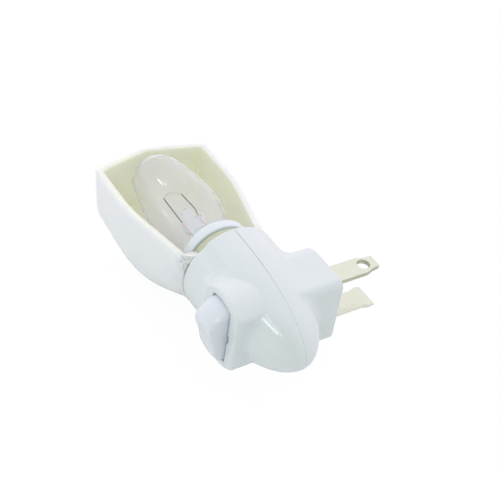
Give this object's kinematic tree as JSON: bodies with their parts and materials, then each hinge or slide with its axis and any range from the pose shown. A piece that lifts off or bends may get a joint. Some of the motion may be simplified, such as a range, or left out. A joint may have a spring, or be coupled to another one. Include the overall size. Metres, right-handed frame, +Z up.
{
  "type": "plug-in night light",
  "caption": "Plug-in night light: bladed plug, round domed casing, rocker switch, clear screw-in bulb and a deep open shade that turns round the socket.",
  "frame": {"origin": "centre of the flat plug face that rests on the outlet, midway between the two blades", "axes": "+Y into the wall along the blades, +Z up along the bulb's axis, +X to the right as seen from the room"},
  "size_m": [0.0321, 0.054, 0.0917],
  "materials": {
    "casing": "smooth moulded, glossy white",
    "rocker": "smooth moulded, glossy, slightly bluish white",
    "sleeve": "moulded, satin cream",
    "shade": "translucent ivory, slightly glossy",
    "blade": "plated, pale, lightly worn",
    "strip": "rolled spring brass",
    "contact": "silver contact, bright",
    "spring": "drawn wire",
    "cap": "thin formed brass",
    "insulator": "opaque black glass",
    "solder": "dull solder",
    "glass": "clear, thin, blown",
    "wire": "dark drawn wire"
  },
  "bodies": {
    "casing": {"front_casing": "casing", "rear_casing": "casing", "socket_sleeve": "sleeve", "socket_shell": "cap", "hot_blade": "blade", "neutral_blade": "blade", "switch_terminal": "strip", "lamp_terminal": "strip", "fixed_contact": "contact", "neutral_strap": "strip", "strap_rivets": "contact"},
    "contact_bar": {"contact_bar": "strip", "moving_contact": "contact"},
    "rocker": {"rocker": "rocker", "plunger": "strip", "plunger_spring": "spring"},
    "shade": {"shade": "shade"},
    "bulb": {"bulb_glass": "glass", "bulb_stem": "glass", "lead_wires": "wire", "filament": "spring", "bulb_cap": "cap", "cap_insulator": "insulator", "cap_contact": "solder"}
  },
  "joints": [
    {"name": "shade_swivel", "type": "hinge", "parent": "casing", "child": "shade", "pos_m": [0, -0.0184, 0.022], "axis": [0, 0, 1], "continuous": true},
    {"name": "rocker_tilt", "type": "hinge", "parent": "casing", "child": "rocker", "pos_m": [0, -0.03, 0.001], "axis": [0, 0, 1], "range_deg": [0, 30]},
    {"name": "contact_tilt", "type": "hinge", "parent": "casing", "child": "contact_bar", "pos_m": [0, -0.02305, 0.001], "axis": [0, 0, 1], "range_deg": [-16, 0]},
    {"name": "bulb_turn", "type": "hinge", "parent": "casing", "child": "bulb", "pos_m": [0, -0.0184, 0.022], "axis": [0, 0, 1], "range_deg": [0, 360]}
  ],
  "couplings": [
    {"joint": "contact_tilt", "follows": "rocker_tilt", "ratio": -0.53333}
  ]
}
